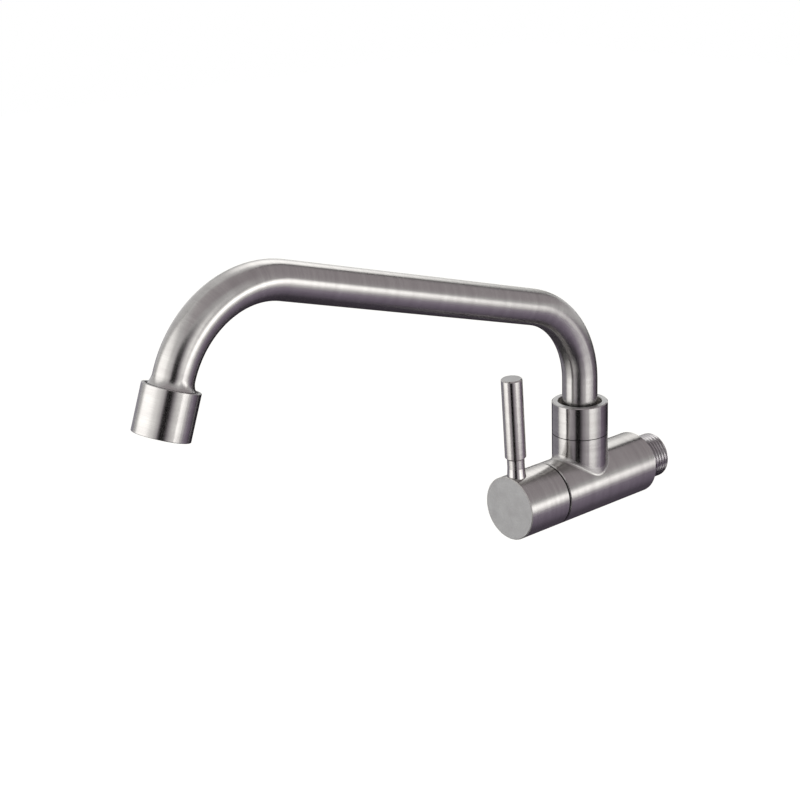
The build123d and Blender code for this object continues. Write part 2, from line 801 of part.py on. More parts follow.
for make_part in (
    body, inlet_tail,
    headwork_bush, bush_seal, seat_seal, fixed_disc, moving_disc,
    valve_spindle, spindle_o_rings, spindle_washer, spindle_circlip,
    handle_glide_ring, handle_cap, spline_insert, handle_grub_screw, lever_rod,
    collar_nut, spout_thrust_washer, spout_bearing_ring,
    spout_foot, spout_o_rings, spout_tube, spout_nozzle,
    aerator_housing, aerator_washer, aerator_cage,
    aerator_sieve, aerator_diffuser, aerator_mesh,
):
    save(make_part.__name__, make_part())
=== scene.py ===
# %% [markdown]
# # A brushed steel wall tap, dressed in Blender
# The tap arrives as a imported CAD model: every turned, bored and bent part is already the right
# size and in its right place. This notebook gives it the finish, the light and the camera of a
# studio photograph, and remakes by hand the few parts whose real form is finer than the CAD's.
# The first cell loads the imported model.

# %% Load the imported tap
import json
import math

import bmesh
import bpy
from mathutils import Matrix, Vector


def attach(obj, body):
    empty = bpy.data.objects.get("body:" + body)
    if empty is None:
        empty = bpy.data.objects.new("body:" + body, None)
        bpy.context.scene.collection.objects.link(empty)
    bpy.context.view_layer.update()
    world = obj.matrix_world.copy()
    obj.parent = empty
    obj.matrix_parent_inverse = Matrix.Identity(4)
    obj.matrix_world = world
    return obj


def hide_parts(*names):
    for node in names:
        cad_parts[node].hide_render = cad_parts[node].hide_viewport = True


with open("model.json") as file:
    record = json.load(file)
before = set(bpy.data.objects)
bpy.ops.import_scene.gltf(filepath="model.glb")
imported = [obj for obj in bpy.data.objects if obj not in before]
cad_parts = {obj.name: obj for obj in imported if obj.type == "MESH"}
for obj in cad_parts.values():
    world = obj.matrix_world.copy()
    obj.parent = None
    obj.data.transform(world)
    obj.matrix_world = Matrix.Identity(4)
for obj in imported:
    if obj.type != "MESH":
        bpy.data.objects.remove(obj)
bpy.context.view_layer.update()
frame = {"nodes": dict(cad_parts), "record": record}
mm = 0.001

# %% [markdown]
# The tap is made of plain round forms, so a handful of axes describes it. The body lies along
# the pipe, the stub and its collar stand on the body, and the lever stands on the knob and
# leans towards the user. A brushed finish runs round these axes, so they are written down once,
# as a point and a direction in metres.

# %% The axes of the body and the lever
spout_y = -37.0 * mm
lever_y = -77.3 * mm
lean = math.radians(3.0)
pipe_axis = (Vector((0, 0, 0)), Vector((0, -1, 0)))
stub_axis = (Vector((0, spout_y, 0)), Vector((0, 0, 1)))
lever_axis = (Vector((0, lever_y, 0)), Vector((0, -math.sin(lean), math.cos(lean))))
print("the spout turns", round(-spout_y / mm, 1), "mm in front of the body's rear shoulder")

# %% [markdown]
# The spout's centre line is straight runs joined by two arcs: up from the collar, round the
# rear bend, along a run that climbs towards the user, and round the front bend until the outlet
# points down and a little outwards. The sizes are those that the tube was bent to. The front
# bend's centre and the outlet's place follow from them, and are written down here to within a
# hundredth of a millimetre, as lengths out from the stub and up from the pipe.

# %% The spout's centre line
slope = math.radians(15.8)
tilt = math.radians(19.8)
foot_up, rise, run_length = 34.3 * mm, 15.2 * mm, 140.0 * mm
rear_bend, front_bend = 42.0 * mm, 42.5 * mm
front_centre_out, front_centre_up = 176.84 * mm, 87.14 * mm
outlet_out, outlet_up = 216.834 * mm, 101.534 * mm
tube_foot = Vector((0, spout_y, foot_up))
rear_centre = Vector((0, spout_y - rear_bend, foot_up + rise))
run = run_length * Vector((0, -math.cos(slope), math.sin(slope)))
front_centre = Vector((0, spout_y - front_centre_out, front_centre_up))
outlet_top = Vector((0, spout_y - outlet_out, outlet_up))
outlet_axis = (outlet_top, Vector((0, -math.sin(tilt), -math.cos(tilt))))
print("outlet starts at", [round(value / mm, 2) for value in outlet_top], "mm")

# %% [markdown]
# Nodes are easier to read when each one is a single line. This helper adds a node, sets its
# options, and fills its sockets: a plain value is typed in, another node's output is linked.
# Colours are written as the hex values that a paint program shows, and turned to the linear
# values that the renderer works in.

# %% Helpers for nodes and colours
def add(tree, kind, sockets=None, output=0, **options):
    """Add one node, set its options, fill its sockets and return the output asked for."""
    made = tree.nodes.new(kind)
    for name, value in options.items():
        setattr(made, name, value)
    for key, value in (sockets or {}).items():
        if isinstance(value, bpy.types.NodeSocket):
            tree.links.new(value, made.inputs[key])
        else:
            made.inputs[key].default_value = value
    return made.outputs[output] if len(made.outputs) else made


def linear(code):
    """The linear colour of an sRGB hex code, with full alpha."""
    parts = [int(code[place:place + 2], 16) / 255 for place in (1, 3, 5)]
    curve = [c / 12.92 if c <= 0.04045 else ((c + 0.055) / 1.055) ** 2.4 for c in parts]
    return (*curve, 1.0)


def new_material(name):
    """A node material with no nodes in it yet, ready for a shader."""
    material = bpy.data.materials.new(name)
    material.use_nodes = True
    material.node_tree.nodes.clear()
    return material


print("mid grey is", [round(value, 3) for value in linear("#808080")])

# %% [markdown]
# The camera stands to the right of the tap and a little above it, about 0.8 m away with a
# portrait lens. The view was matched to the photograph by its angles: 49 degrees round from
# the front, 18 degrees up, and turned 2 degrees about its own axis. The tap isn't in the
# middle of the picture, so the camera also stands a little aside of the line to the stub.

# %% Camera
azimuth, elevation, roll = (math.radians(angle) for angle in (49.142, 18.339, -1.956))
camera_back, camera_aside, camera_higher = 796.598, -83.033, 37.746
toward_camera = Vector((
    math.sin(azimuth) * math.cos(elevation),
    -math.cos(azimuth) * math.cos(elevation),
    math.sin(elevation),
))
level_right = Vector((math.cos(azimuth), math.sin(azimuth), 0))
level_up = toward_camera.cross(level_right)
camera_right = math.cos(roll) * level_right + math.sin(roll) * level_up
camera_up = math.cos(roll) * level_up - math.sin(roll) * level_right
camera_place = Vector((0, spout_y, 0)) + mm * (
    camera_back * toward_camera + camera_aside * camera_right + camera_higher * camera_up
)
camera_data = bpy.data.cameras.new("photo_camera")
camera_data.sensor_width = 36.0
camera_data.lens = 77.592
camera = bpy.data.objects.new("photo_camera", camera_data)
camera.matrix_world = Matrix((
    (camera_right.x, camera_up.x, toward_camera.x, camera_place.x),
    (camera_right.y, camera_up.y, toward_camera.y, camera_place.y),
    (camera_right.z, camera_up.z, toward_camera.z, camera_place.z),
    (0, 0, 0, 1),
))
bpy.context.scene.collection.objects.link(camera)
bpy.context.scene.camera = camera
bpy.context.scene.view_settings.view_transform = "Standard"
print("camera at", [round(value, 3) for value in camera_place])

# %% [markdown]
# The photograph has a pure white ground. The world is white where a camera ray or a reflected
# ray meets it, and softer where it only lights the tap, so the ground costs no extra light.

# %% White world
world = bpy.data.worlds.new("white_studio")
bpy.context.scene.world = world
world.use_nodes = True
sky = world.node_tree
sky.nodes.clear()


def seen_directly(tree):
    """One where a camera, mirror or see-through ray looks at the surface, else zero."""
    path = add(tree, "ShaderNodeLightPath").node.outputs
    seen = add(tree, "ShaderNodeMath", {0: path["Is Camera Ray"], 1: path["Is Glossy Ray"]},
               operation="MAXIMUM")
    return add(tree, "ShaderNodeMath", {0: seen, 1: path["Is Transmission Ray"]},
               operation="MAXIMUM")


soft_light = add(sky, "ShaderNodeBackground", {"Color": linear("#f4f2ee"), "Strength": 0.55})
white_ground = add(sky, "ShaderNodeBackground", {"Color": linear("#ffffff"), "Strength": 1.0})
both = add(sky, "ShaderNodeMixShader", {0: seen_directly(sky), 1: soft_light, 2: white_ground})
add(sky, "ShaderNodeOutputWorld", {"Surface": both})
print("world nodes:", len(sky.nodes))

# %% [markdown]
# The floor is a large pale sheet well below the tap. It takes the tap's soft shadow as any
# matt surface does, and a little white is added where it is seen, so that it meets the white
# of the world without a line.

# %% Floor
floor_height, floor_reach, floor_glow = -0.80, 6.0, 0.62
floor_mesh = bpy.data.meshes.new("floor")
sheet = bmesh.new()
bmesh.ops.create_grid(sheet, x_segments=1, y_segments=1, size=floor_reach)
bmesh.ops.translate(sheet, vec=(0, 0, floor_height), verts=sheet.verts)
sheet.to_mesh(floor_mesh)
sheet.free()
floor = bpy.data.objects.new("floor", floor_mesh)
bpy.context.scene.collection.objects.link(floor)
floor_paint = new_material("matt_white_floor_paint")
tree = floor_paint.node_tree
matt = add(tree, "ShaderNodeBsdfDiffuse", {"Color": linear("#eeeeec")})
lift = add(tree, "ShaderNodeMath", {0: seen_directly(tree), 1: floor_glow}, operation="MULTIPLY")
glow = add(tree, "ShaderNodeEmission", {"Color": linear("#ffffff"), "Strength": lift})
painted = add(tree, "ShaderNodeAddShader", {0: matt, 1: glow})
add(tree, "ShaderNodeOutputMaterial", {"Surface": painted})
floor_mesh.materials.append(floor_paint)
print("floor at z", floor_height)

# %% [markdown]
# Bright metal has hardly a colour of its own: it shows the studio. A photographer shapes it
# with lamps for the light and with white, grey and black boards for the bands. Here a lamp or a
# board is placed by the direction in which it stands from the tap, as an azimuth and an
# elevation in degrees and a distance in metres, and it faces the tap. Azimuth 0 is to the
# user's right, 90 is the wall behind the tap and -90 is the user.

# %% Where lamps and boards stand
tap_centre = Vector((0, -0.12, 0.05))


def facing(azimuth_deg, elevation_deg, distance):
    """A matrix at that direction and distance from the tap whose -Z looks at the tap."""
    a, e = math.radians(azimuth_deg), math.radians(elevation_deg)
    outward = Vector((math.cos(a) * math.cos(e), math.sin(a) * math.cos(e), math.sin(e)))
    turn = outward.to_track_quat("Z", "Y").to_matrix().to_4x4()
    return Matrix.Translation(tap_centre + outward * distance) @ turn


print("lamps and boards look at", list(tap_centre))

# %% [markdown]
# Three softboxes light what isn't a mirror: the rubber, the acetal and the floor. Each is given
# as a direction, a brightness and a colour. A lamp's power spreads over its area, so it is
# worked out from the brightness wanted, and the boxes stay out of the reflections, where a
# plain square of light would look drawn on.

# %% Softboxes
box_distance, box_side = 1.1, 0.60


def softbox(name, azimuth_deg, elevation_deg, radiance, colour):
    """A square lamp of that brightness, as a surface that faces it would see it."""
    lamp = bpy.data.lights.new(name, "AREA")
    lamp.shape = "RECTANGLE"
    lamp.size, lamp.size_y = box_side, box_side
    lamp.energy = radiance * math.pi * box_side * box_side
    lamp.color = linear(colour)[:3]
    held = bpy.data.objects.new(name, lamp)
    held.matrix_world = facing(azimuth_deg, elevation_deg, box_distance)
    held.visible_camera = held.visible_glossy = False
    bpy.context.scene.collection.objects.link(held)


softbox("right_softbox", 26, 20, 1.6, "#fffaf2")
softbox("left_softbox", -115, 25, 1.8, "#fffcf6")
softbox("rear_softbox", 136, 45, 1.6, "#fffcf6")

# %% [markdown]
# The boards make the long bright and dark bands that a barrel shows. An evenly lit board gives
# a band with hard edges. A studio's diffuser is brighter in front of its lamp and fades towards
# its rim, which gives the soft bands of the photograph, so a board's brightness is a profile
# across its width times one up its height. Each is a list of stops, a place from 0 to 1 and the
# brightness there, and a colour ramp eases from one stop to the next.

# %% Brightness across a board
def profile(tree, place, axis_name, size, stops):
    """Brightness along one side of a board, from stops of (place from 0 to 1, brightness)."""
    parts = add(tree, "ShaderNodeSeparateXYZ", {0: place}).node.outputs
    share = add(tree, "ShaderNodeMapRange", {"Value": parts[axis_name], "From Min": -size / 2,
                                             "From Max": size / 2})
    top = max(bright for _, bright in stops)
    ramp = add(tree, "ShaderNodeValToRGB", {"Fac": share}).node
    ramp.color_ramp.interpolation = "EASE"
    while len(ramp.color_ramp.elements) < len(stops):
        ramp.color_ramp.elements.new(0.5)
    for element, (position, bright) in zip(ramp.color_ramp.elements, stops):
        element.position = position
        element.color = (bright / top, bright / top, bright / top, 1)
    return add(tree, "ShaderNodeMath", {0: ramp.outputs[0], 1: top}, operation="MULTIPLY")


even = ((0, 1), (1, 1))
print("an even board has", len(even), "stops")

# %% [markdown]
# A board is one flat face that gives off light, and only reflections see it. It is given as a
# direction, a distance, a width, a height and a tint, then its stops across, towards a growing
# azimuth, and its stops upwards, and last its turn about its own middle. Its faint tint is
# what colours the grey parts of the steel. Where the board is bright the tint fades to white,
# as a bright highlight in the photograph is white too.

# %% Boards that only reflections see
tint_from, white_from = 0.35, 1.3
highlight_white = "#fdfdfb"


def board(name, azimuth_deg, elevation_deg, distance, width, height, tint, across,
          upward=even, roll_deg=0):
    """A board that only reflections see. Its brightness is a profile along its width, towards
    a growing azimuth, times a profile along its height. Its tint fades where it is bright."""
    sheet = bmesh.new()
    bmesh.ops.create_grid(sheet, x_segments=1, y_segments=1, size=0.5)
    bmesh.ops.scale(sheet, vec=(width, height, 1), verts=sheet.verts)
    mesh = bpy.data.meshes.new(name)
    sheet.to_mesh(mesh)
    sheet.free()
    held = bpy.data.objects.new(name, mesh)
    held.matrix_world = (facing(azimuth_deg, elevation_deg, distance)
                         @ Matrix.Rotation(math.radians(roll_deg), 4, "Z"))
    held.visible_camera = held.visible_diffuse = held.visible_shadow = False
    paint = new_material(name + "_paint")
    tree = paint.node_tree
    place = add(tree, "ShaderNodeTexCoord", output="Object")
    strength = add(tree, "ShaderNodeMath", {0: profile(tree, place, "X", width, across),
                                            1: profile(tree, place, "Y", height, upward)},
                   operation="MULTIPLY")
    fade = add(tree, "ShaderNodeMapRange", {"Value": strength, "From Min": tint_from,
                                            "From Max": white_from})
    colour = add(tree, "ShaderNodeMix", {0: fade, 6: linear(tint), 7: linear(highlight_white)},
                 data_type="RGBA", output=2)
    glow = add(tree, "ShaderNodeEmission", {"Color": colour, "Strength": strength})
    add(tree, "ShaderNodeOutputMaterial", {"Surface": glow})
    mesh.materials.append(paint)
    bpy.context.scene.collection.objects.link(held)


print("the tint is gone where a board is brighter than", white_from)

# %% [markdown]
# Three large diffusers give the bright bands: the one at the right makes the long highlight on
# the body and on the run, the one at the left a band down the left side of the upright barrels,
# and the one at the rear lights the tops. Each is turned a little about its own middle, so that
# its band crosses the sloping tube at the photograph's angle. A slim, nearly black board stands
# at the edge of the rear one, and leaves a dark line between its band and the grey beside it.

# %% Diffusers
board("right_diffuser", 22, -5, 2.2, 2.57, 1.34, "#fbfffc",
      ((0, 0.6), (0.1, 0.9), (0.25, 1), (0.78, 1), (1, 0.25)),
      ((0, 0.9), (0.15, 1.8), (0.30, 3.0), (0.42, 4.2), (0.57, 4.2), (0.72, 2.0), (1, 0.45)),
      roll_deg=16)
board("left_diffuser", -114, 10, 0.9, 1.25, 1.40, "#fefffe",
      ((0, 0.25), (0.15, 0.5), (0.28, 0.95), (0.5, 1), (0.68, 1), (0.82, 0.9), (1, 0.7)),
      ((0, 2.2), (0.25, 3.0), (0.5, 3.0), (0.8, 2.3), (1, 0.8)), roll_deg=-15)
board("rear_diffuser", 134, 32, 1.0, 0.92, 0.96, "#fdfefb",
      ((0, 0.2), (0.1, 0.35), (0.22, 0.75), (0.35, 1), (0.7, 1), (1, 0.6)),
      ((0, 0.8), (0.25, 1.25), (0.45, 2.4), (0.7, 2.9), (1, 2.4)), roll_deg=20)
board("rear_dark_board", 102, 40, 0.85, 0.08, 0.80, "#fbf1fc", ((0, 0.02), (1, 0.02)))

# %% [markdown]
# The other boards fill the greys between the bright bands. The front board, close before the
# tap, has a black stripe at its middle: that is the dark line down the lever, the collar and the
# outlet sleeve. The low board and the board under the tap grow darker from the user's right to
# the left, which gives the barrels their dark lower edges, and their violet tint is the
# photograph's.

# %% Grey and dark boards
board("front_board", -46, -2, 0.50, 0.96, 0.74, "#fbf1fc",
      ((0, 1.1), (0.18, 0.84), (0.33, 0.50), (0.40, 0.0), (0.55, 0.0), (0.61, 0.24),
       (0.72, 0.68), (0.865, 1.1), (1, 1.5)),
      ((0, 0.75), (0.226, 0.75), (0.52, 1.65), (0.7, 2.3), (0.86, 1.8), (1, 1.5)))
board("overhead_board", 64, 40, 0.9, 1.3, 0.95, "#fdf1f8",
      ((0, 0.62), (0.8, 0.62), (0.95, 0.35), (1, 0.30)))
board("ceiling_board", -20, 75, 0.8, 1.0, 0.8, "#fdf1f8", ((0, 0.72), (1, 0.55)))
board("low_board", 98, -35, 0.46, 0.95, 0.60, "#f8e2ff",
      ((0, 0.55), (0.12, 0.38), (0.24, 0.26), (0.38, 0.12), (0.48, 0.03), (0.7, 0.02), (1, 0.04)))
board("under_board", 90, -75, 0.33, 1.1, 0.85, "#f4e2ff",
      ((0, 0.6), (0.14, 0.55), (0.34, 0.35), (0.5, 0.12), (0.8, 0.05), (1, 0.2)),
      ((0, 0.1), (0.3, 0.1), (0.5, 0.8), (0.6, 1), (1, 1)))
board("right_low_board", 20, -46, 0.6, 0.85, 0.45, "#f8e4ff", ((0, 0.5), (1, 0.35)))
board("left_board", 175, -18, 0.6, 0.80, 0.42, "#f4f0ff",
      ((0, 0.02), (0.2, 0.06), (0.38, 0.45), (1, 0.5)))

# %% [markdown]
# The tap is stainless steel, brushed with a fine abrasive belt while it turned, so its hair
# lines run round each axis. They spread a reflection along the axis and leave it sharp across,
# which is why every barrel shows long straight bands. The shader copies both: an anisotropic
# gloss whose tangent runs round the axis, and hair lines as a pattern that depends on the
# distance along and from the axis. Both start from where a point lies beside its axis.

# %% Distance along and from an axis
def ring_position(tree, point, direction):
    """Distance from the axis, distance along it, and the outward direction, as sockets."""
    place = add(tree, "ShaderNodeTexCoord", output="Object")
    offset = add(tree, "ShaderNodeVectorMath", {0: place, 1: point}, operation="SUBTRACT")
    along = add(tree, "ShaderNodeVectorMath", {0: offset, 1: direction}, operation="DOT_PRODUCT",
                output="Value")
    foot = add(tree, "ShaderNodeVectorMath", {0: direction, "Scale": along}, operation="SCALE")
    out = add(tree, "ShaderNodeVectorMath", {0: offset, 1: foot}, operation="SUBTRACT")
    far = add(tree, "ShaderNodeVectorMath", {0: out}, operation="LENGTH", output="Value")
    return far, along, out


def round_the_axis(tree, direction, outward):
    """The direction of the hair lines: round the axis, along the surface."""
    round_it = add(tree, "ShaderNodeVectorMath", {0: direction, 1: outward},
                   operation="CROSS_PRODUCT")
    return add(tree, "ShaderNodeVectorMath", {0: round_it}, operation="NORMALIZE")


print("axes to brush round:", [[round(value, 2) for value in axis[1]]
                               for axis in (pipe_axis, stub_axis, lever_axis, outlet_axis)])

# %% [markdown]
# Real hair lines are about 0.06 mm apart, too fine to show in the picture, so they are drawn at
# 0.3 mm. One abrasive grain draws a line a few millimetres long, and the belt's own wear shows
# as broader, paler and darker rings, so the pattern is a fine noise and a broad one.

# %% Hair lines
hair_line = 0.3 * mm
scratch_length = 9 * mm
broad_scale = 0.08


def hair_lines(tree, far, along, out, pitch):
    """Noise drawn out round the axis: fine across the lines, slow along them."""
    slow = add(tree, "ShaderNodeVectorMath", {0: out, "Scale": 1 / scratch_length},
               operation="SCALE")
    parts = add(tree, "ShaderNodeSeparateXYZ", {0: slow}).node.outputs
    drift = add(tree, "ShaderNodeMath", {0: parts[0], 1: parts[2]}, operation="ADD")
    drift = add(tree, "ShaderNodeMath", {0: drift, 1: parts[1]}, operation="ADD")
    rows = [add(tree, "ShaderNodeMath", {0: value, 1: pitch}, operation="DIVIDE")
            for value in (far, along)]
    spot = add(tree, "ShaderNodeCombineXYZ", {0: rows[0], 1: rows[1], 2: drift})
    fine = add(tree, "ShaderNodeTexNoise", {"Vector": spot, "Scale": 1.0, "Detail": 3.0,
                                            "Roughness": 0.65})
    broad = add(tree, "ShaderNodeTexNoise", {"Vector": spot, "Scale": broad_scale, "Detail": 2.0})
    return fine, broad


print("hair lines every", round(hair_line / mm, 2), "mm, rings every",
      round(hair_line / broad_scale / mm, 2), "mm")

# %% [markdown]
# A flat end can't be brushed round: it is sanded, which leaves a plain even grey. An edge that
# is broken by hand has a bevel more matt than the barrel, so that it doesn't draw a dark line.
# How squarely a face looks along the axis tells the two from the barrel.

# %% Flat ends and broken edges
squarely_flat = 0.97
bevel_middle, bevel_range = 0.7, 0.25


def flat_and_bevel(tree, direction):
    """One on a face across the axis, and one on a bevel beside it. Both are zero elsewhere."""
    normal = add(tree, "ShaderNodeNewGeometry", output="True Normal")
    square = add(tree, "ShaderNodeVectorMath", {0: normal, 1: direction},
                 operation="DOT_PRODUCT", output="Value")
    square = add(tree, "ShaderNodeMath", {0: square}, operation="ABSOLUTE")
    flat = add(tree, "ShaderNodeMath", {0: square, 1: squarely_flat}, operation="GREATER_THAN")
    bevel = add(tree, "ShaderNodeMath", {0: square, 1: bevel_middle, 2: bevel_range},
                operation="COMPARE")
    return flat, bevel


print("an end is flat within", round(math.degrees(math.acos(squarely_flat))), "degrees")

# %% [markdown]
# The shader of every worked metal is the same: the tool's lines set its tone, its roughness and
# a tiny relief together, as they do on real metal. Only the amounts differ from part to part.
# It keeps the default index of refraction, because a metal's colour sets what it reflects.

# %% A worked metal
line_relief = 0.02 * mm
roughness_swing = 0.02
line_bump = 0.055
# Flat ends are multiplied by this grey: painted shade that makes them darker than the barrel.
flat_end_shade = "#e2e4e7"


def metal_shader(tree, lines, tangent, dark, light, roughness, aniso, flat=0.0,
                 flat_shade_tint=flat_end_shade):
    """A worked metal: its tone, roughness and tiny relief all follow the tool's lines. A flat end
    is painted a little darker than the barrel, as painted shade."""
    fine, broad = lines
    tone = add(tree, "ShaderNodeMath", {0: fine, 1: broad}, operation="MULTIPLY")
    tone = add(tree, "ShaderNodeMapRange", {"Value": tone, "From Min": 0.12, "From Max": 0.40})
    colour = add(tree, "ShaderNodeMix", {0: tone, 6: linear(dark), 7: linear(light)},
                 data_type="RGBA", output=2)
    # Painted shade: the colour of a flat end is multiplied by its darker tint.
    colour = add(tree, "ShaderNodeMix", {0: flat, 6: colour, 7: linear(flat_shade_tint)},
                 data_type="RGBA", blend_type="MULTIPLY", output=2)
    rough = add(tree, "ShaderNodeMapRange", {"Value": fine, "From Min": 0.3, "From Max": 0.7,
                                             "To Min": -roughness_swing,
                                             "To Max": roughness_swing})
    rough = add(tree, "ShaderNodeMath", {0: rough, 1: roughness}, operation="ADD")
    relief = add(tree, "ShaderNodeBump", {"Height": fine, "Strength": line_bump,
                                          "Distance": line_relief})
    shader = add(tree, "ShaderNodeBsdfPrincipled", {
        "Base Color": colour, "Metallic": 1.0, "Roughness": rough, "Anisotropic": aniso,
        "Anisotropic Rotation": 0.25, "Tangent": tangent, "Normal": relief,
    })
    add(tree, "ShaderNodeOutputMaterial", {"Surface": shader})


print("hair lines are", round(line_bump * line_relief / mm, 4), "mm deep")

# %% [markdown]
# A turned part has one axis for all its lines. On its flat ends the sanding has no direction, so
# the lines give way to specks there, and the tangent to a fixed one.

# %% A turned metal
sanded_matt = 0.2
speck_sizes = (0.4 * mm, 5 * mm)


def turned_metal(name, axis, dark, light, roughness, aniso, pitch=hair_line,
                 flat_shade_tint=flat_end_shade, edge_matt=0.0):
    """A metal whose tool lines run round one axis. Its flat ends are matter, and so is the bevel
    of a broken edge, by edge_matt."""
    material = new_material(name)
    tree = material.node_tree
    far, along, out = ring_position(tree, *axis)
    flat, bevel = flat_and_bevel(tree, axis[1])
    place = add(tree, "ShaderNodeTexCoord", output="Object")
    grain = [add(tree, "ShaderNodeTexNoise", {"Vector": place, "Scale": 1 / size, "Detail": 3.0})
             for size in speck_sizes]
    lines = [add(tree, "ShaderNodeMix", {0: flat, 2: line, 3: speck})
             for line, speck in zip(hair_lines(tree, far, along, out, pitch), grain)]
    tangent = add(tree, "ShaderNodeMix", {
        0: flat, 4: round_the_axis(tree, axis[1], out), 5: (1, 0, 0),
    }, data_type="VECTOR", output=1)
    sanded = add(tree, "ShaderNodeMath", {0: flat, 1: sanded_matt, 2: roughness},
                 operation="MULTIPLY_ADD")
    matter = add(tree, "ShaderNodeMath", {0: bevel, 1: edge_matt, 2: sanded},
                 operation="MULTIPLY_ADD")
    metal_shader(tree, lines, tangent, dark, light, matter, aniso, flat, flat_shade_tint)
    return material


print("a sanded end is", sanded_matt, "rougher than its barrel")

# %% [markdown]
# Four parts are brushed the same way about four axes. The knob and the outlet sleeve were brushed
# with the coarser belt, so their bands are soft. The collar and the lever had a finer belt, so
# their bands are sharper. Only the knob's edges were broken by hand, and are matt. The small top
# of the lever is sanded like the other flat ends, and its darker painted shade makes it the
# darkest of them. The lever's steel is painted a little lighter than the others, as painted
# highlight.

# %% Steel for the turned parts
steel_light, steel_dark = "#aaa8a6", "#9c9998"
steel = {"dark": steel_dark, "light": steel_light}
steel_on_pipe = turned_metal("brushed_stainless_knob", pipe_axis, roughness=0.25, aniso=0.80,
                             edge_matt=0.30, **steel)
steel_on_stub = turned_metal("brushed_stainless_collar", stub_axis, roughness=0.18, aniso=0.75,
                             **steel)
# The lever's steel is painted lighter than the same steel elsewhere: painted highlight.
lighter_steel_on_lever = turned_metal("brushed_stainless_lever", lever_axis, "#a6a2a1", "#b2b0ae",
                              roughness=0.18, aniso=0.75, flat_shade_tint="#bcbec1")
steel_on_outlet = turned_metal("brushed_stainless_sleeve", outlet_axis, roughness=0.24,
                               aniso=0.75, **steel)
print("steel finishes:", [m.name for m in bpy.data.materials if m.name.startswith("brushed")])

# %% [markdown]
# The body is two barrels in one piece: its hair lines run round the pipe, except on the stub,
# where they run round the stub. The stub is all that stands further from the pipe's axis than
# the barrel's own radius of 14.5 mm, so that distance chooses between the two sets of lines.
# Neither belt reaches into the round between them. It is rubbed by hand, so it is more matt.

# %% Brushed body
barrel_radius = 14.5 * mm
lines_change = (barrel_radius + 0.1 * mm, barrel_radius + 0.7 * mm)
round_starts = (barrel_radius, barrel_radius + 0.3 * mm)
round_ends = (barrel_radius + 1.3 * mm, barrel_radius + 2.3 * mm)
barrel_rough, rubbed_rough, stub_rough = 0.25, 0.42, 0.18

steel_on_body = new_material("brushed_stainless_body")
tree = steel_on_body.node_tree
pipe_far, pipe_along, pipe_out = ring_position(tree, *pipe_axis)
stub_far, stub_along, stub_out = ring_position(tree, *stub_axis)
on_stub = add(tree, "ShaderNodeMapRange", {"Value": pipe_far, "From Min": lines_change[0],
                                           "From Max": lines_change[1]})
pipe_lines = hair_lines(tree, pipe_far, pipe_along, pipe_out, hair_line)
stub_lines = hair_lines(tree, stub_far, stub_along, stub_out, hair_line)
body_lines = [add(tree, "ShaderNodeMix", {0: on_stub, 2: one, 3: other})
              for one, other in zip(pipe_lines, stub_lines)]
body_tangent = add(tree, "ShaderNodeMix", {
    0: on_stub,
    4: round_the_axis(tree, pipe_axis[1], pipe_out),
    5: round_the_axis(tree, stub_axis[1], stub_out),
}, data_type="VECTOR", output=1)
rubbed = add(tree, "ShaderNodeMapRange", {
    "Value": pipe_far, "From Min": round_starts[0], "From Max": round_starts[1],
    "To Min": barrel_rough, "To Max": rubbed_rough,
})
belted = add(tree, "ShaderNodeMapRange", {
    "Value": pipe_far, "From Min": round_ends[0], "From Max": round_ends[1],
    "To Min": 0.0, "To Max": rubbed_rough - stub_rough,
})
body_roughness = add(tree, "ShaderNodeMath", {0: rubbed, 1: belted}, operation="SUBTRACT")
metal_shader(tree, body_lines, body_tangent, steel_dark, steel_light, body_roughness,
             aniso=0.78)
print("body nodes:", len(tree.nodes))

# %% [markdown]
# The spout is one length of 16 mm tube with a 1 mm wall, bent twice on a round former. In
# Blender that is the same move again and again: take the two rings at the tube's end, extrude
# them, and shift or turn the new ones. A curve with a bevel would give the outside too, but not
# the wall, and each new ring here also notes how far along the tube it is and which way the
# tube runs there. The finish reads both, so its hair lines follow the bends.

# %% Moves that lengthen the tube
tube_radius, bore_radius = 8.0 * mm, 7.0 * mm
tube = bmesh.new()
along_layer = tube.verts.layers.float.new("along")
heading_layer = tube.verts.layers.float_vector.new("heading")
bmesh.ops.create_circle(tube, segments=96, radius=tube_radius)
bmesh.ops.translate(tube, vec=tube_foot, verts=tube.verts)
for point in tube.verts:
    point[heading_layer] = Vector((0, 0, 1))


def end_face(outer_ring, centre):
    """Extrude the outer ring inwards to the bore, as the tube's flat end."""
    grown = bmesh.ops.extrude_edge_only(tube, edges=outer_ring)["geom"]
    for point in (part for part in grown if isinstance(part, bmesh.types.BMVert)):
        point.co = centre + (point.co - centre) * bore_radius / tube_radius
    return [part for part in grown if isinstance(part, bmesh.types.BMEdge)]


def longer(rim, move, length):
    """Extrude the tube's end, move the new rings and note their station and heading."""
    grown = bmesh.ops.extrude_edge_only(tube, edges=rim)["geom"]
    rim = [part for part in grown if isinstance(part, bmesh.types.BMEdge)]
    points = [part for part in grown if isinstance(part, bmesh.types.BMVert)]
    bmesh.ops.transform(tube, matrix=move, verts=points)
    for point in points:
        point[along_layer] += length
        point[heading_layer] = move.to_3x3() @ point[heading_layer]
    return rim


def bend(rim, centre, radius, angle, steps):
    """Turn the end ring round a bend's centre in equal small steps."""
    step = angle / steps
    swing = (Matrix.Translation(centre) @ Matrix.Rotation(step, 4, "X")
             @ Matrix.Translation(-centre))
    for _ in range(steps):
        rim = longer(rim, swing, radius * step)
    return rim


print("a ring of the tube has", len(tube.verts), "points")

# %% [markdown]
# Now the tube is bent as the former would do it. Each flat end is made from the outer ring,
# extruded inwards to the bore. Bridging two rings that share a centre can twist the faces
# between them, and at the far end the new ring lands on the bore's and merges. The volume of
# steel is a good test: a twisted or turned face would show in it at once.

